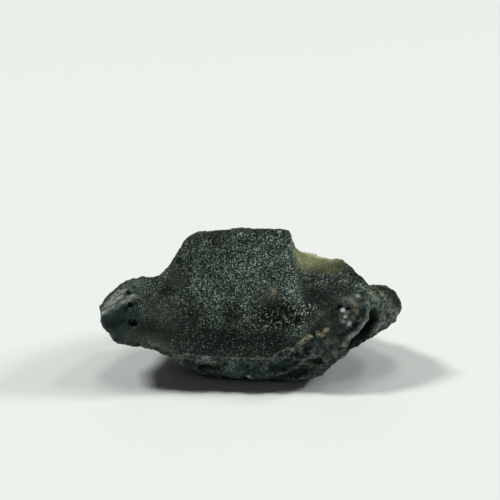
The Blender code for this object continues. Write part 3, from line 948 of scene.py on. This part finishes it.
def keep_hollows(mesh):
    """Keeps how far each point stands out of the surface round it: 0.5 is level, 1 a peak. The finish
    paints shade into the low points.
    """
    points, normals = read(mesh), read(mesh, "normal")
    rise = ((points - spread(mesh, points, LEVEL_ROUNDS)) * normals).sum(axis=1)
    keep(mesh, "hollow", np.clip(0.5 + spread(mesh, rise, SOFT_ROUNDS) / PEAK_HEIGHT, 0, 1))


class TEKTITE_OT_make_stone(bpy.types.Operator):
    """Makes the stone: the fine mesh, its ridges, hollows, lumps and pits, and its glass"""

    bl_idname = "tektite.make_stone"
    bl_label = "Make the stone"

    def execute(self, context):
        shape = context.scene.tektite_shape
        stone = fine_copy("tektite", shape.step)
        surface = BVHTree.FromObject(stone, context.evaluated_depsgraph_get())
        press_lines(stone.data, surface)
        keep_masks(stone.data, surface)
        stone.data.shade_smooth()
        weather = stone.modifiers.new("weathered_skin", "NODES")
        weather.node_group = weather_tree(etched_glass(context.scene.tektite_glass))
        set_inputs(weather, shape)
        mesh = settle(stone)
        points = read(mesh)
        points[:, 2] = np.maximum(points[:, 2], 0)
        write(mesh, points)
        keep_hollows(mesh)
        mesh.name = "tektite_stone"
        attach(stone, "root")
        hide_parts("tektite")
        return {"FINISHED"}


# ---------------------------------------------------------------- the stage

# Each lamp is (name, degrees round from the front, degrees up, width and depth in metres).
LAMPS = [
    ("left_lamp", 268, 56, 0.20, 0.26),
    ("right_lamp", 100, 34, 0.26, 0.22),
    ("high_lamp", 97, 60, 0.20, 0.20),
    ("top_lamp", 90, 87, 0.40, 0.24),
    ("back_lamp", 180, 38, 1.0, 1.0),
    ("front_lamp", 0, 30, 1.0, 1.0),
]
LAMP_DISTANCE = 1.2  # from the stone's middle on the ground, in metres
FLOOR_REACH = 2.0  # from the stone to each side of the floor, in metres
FLOOR_ROUGHNESS = 0.8


def aimed(name, data, place, direction):
    """A new lamp or camera at the place, looking along the direction."""
    made = linked(name, data)
    made.location = place
    made.rotation_euler = direction.to_track_quat("-Z", "Y").to_euler()
    return made


def lay_floor(stage):
    """The plain pale floor."""
    mesh = bpy.data.meshes.new("floor")
    corners = [(x * FLOOR_REACH, y * FLOOR_REACH, 0) for x, y in ((-1, -1), (1, -1), (1, 1), (-1, 1))]
    mesh.from_pydata(corners, [], [(0, 1, 2, 3)])
    paper = bpy.data.materials.new("pale_paper")
    paper.use_nodes = True
    shader = paper.node_tree.nodes["Principled BSDF"]
    shader.inputs["Base Color"].default_value = (*stage.floor, 1.0)
    shader.inputs["Roughness"].default_value = FLOOR_ROUGHNESS
    mesh.materials.append(paper)
    floor = linked("floor", mesh)


def hang_lamps(stage):
    """The lamps round the stone, each aimed at it."""
    for name, turn, height, width, depth in LAMPS:
        turn, height = math.radians(turn), math.radians(height)
        level = math.cos(height)
        away = Vector((math.sin(turn) * level, -math.cos(turn) * level, math.sin(height)))
        lamp = bpy.data.lights.new(name, "AREA")
        lamp.shape = "RECTANGLE"
        lamp.size, lamp.size_y = width, depth
        lamp.energy = getattr(stage, name)
        aimed(name, lamp, away * LAMP_DISTANCE, -away)


def light_surround(stage, scene):
    """The faint even light from all round."""
    scene.world = bpy.data.worlds.new("surround")
    scene.world.use_nodes = True
    back = scene.world.node_tree.nodes["Background"]
    back.inputs["Color"].default_value = (1.0, 1.0, 1.0, 1.0)
    back.inputs["Strength"].default_value = stage.surround


class TEKTITE_OT_set_stage(bpy.types.Operator):
    """Sets the stage: a pale floor, six lamps, a faint surround and the camera"""

    bl_idname = "tektite.set_stage"
    bl_label = "Set the stage"

    def execute(self, context):
        scene = context.scene
        lay_floor(scene.tektite_stage)
        hang_lamps(scene.tektite_stage)
        light_surround(scene.tektite_stage, scene)
        lens = bpy.data.cameras.new("camera")
        lens.lens, lens.sensor_width, lens.clip_start = LENS, SENSOR, NEAREST_SHOWN
        bpy.context.scene.camera = aimed("camera", lens, VIEWER, -TOWARDS_VIEWER)
        scene.view_settings.view_transform = "Standard"
        return {"FINISHED"}


class TEKTITE_PT_panel(bpy.types.Panel):
    """Lists the stone's sizes and colours, and the steps that make it"""

    bl_label = "Tektite"
    bl_space_type = "VIEW_3D"
    bl_region_type = "UI"
    bl_category = "Tektite"

    def draw(self, context):
        scene = context.scene
        for group in (scene.tektite_shape, scene.tektite_glass, scene.tektite_stage):
            for name in group.__annotations__:
                self.layout.prop(group, name)
        self.layout.operator(TEKTITE_OT_make_stone.bl_idname)
        self.layout.operator(TEKTITE_OT_set_stage.bl_idname)


CLASSES = (
    TektiteShape,
    TektiteGlass,
    TektiteStage,
    TEKTITE_OT_make_stone,
    TEKTITE_OT_set_stage,
    TEKTITE_PT_panel,
)


def register():
    for each in CLASSES:
        bpy.utils.register_class(each)
    bpy.types.Scene.tektite_shape = PointerProperty(type=TektiteShape)
    bpy.types.Scene.tektite_glass = PointerProperty(type=TektiteGlass)
    bpy.types.Scene.tektite_stage = PointerProperty(type=TektiteStage)


def unregister():
    del bpy.types.Scene.tektite_stage
    del bpy.types.Scene.tektite_glass
    del bpy.types.Scene.tektite_shape
    for each in reversed(CLASSES):
        bpy.utils.unregister_class(each)


def main():
    register()
    bpy.ops.tektite.make_stone()
    bpy.ops.tektite.set_stage()


if __name__ == "__main__":
    main()
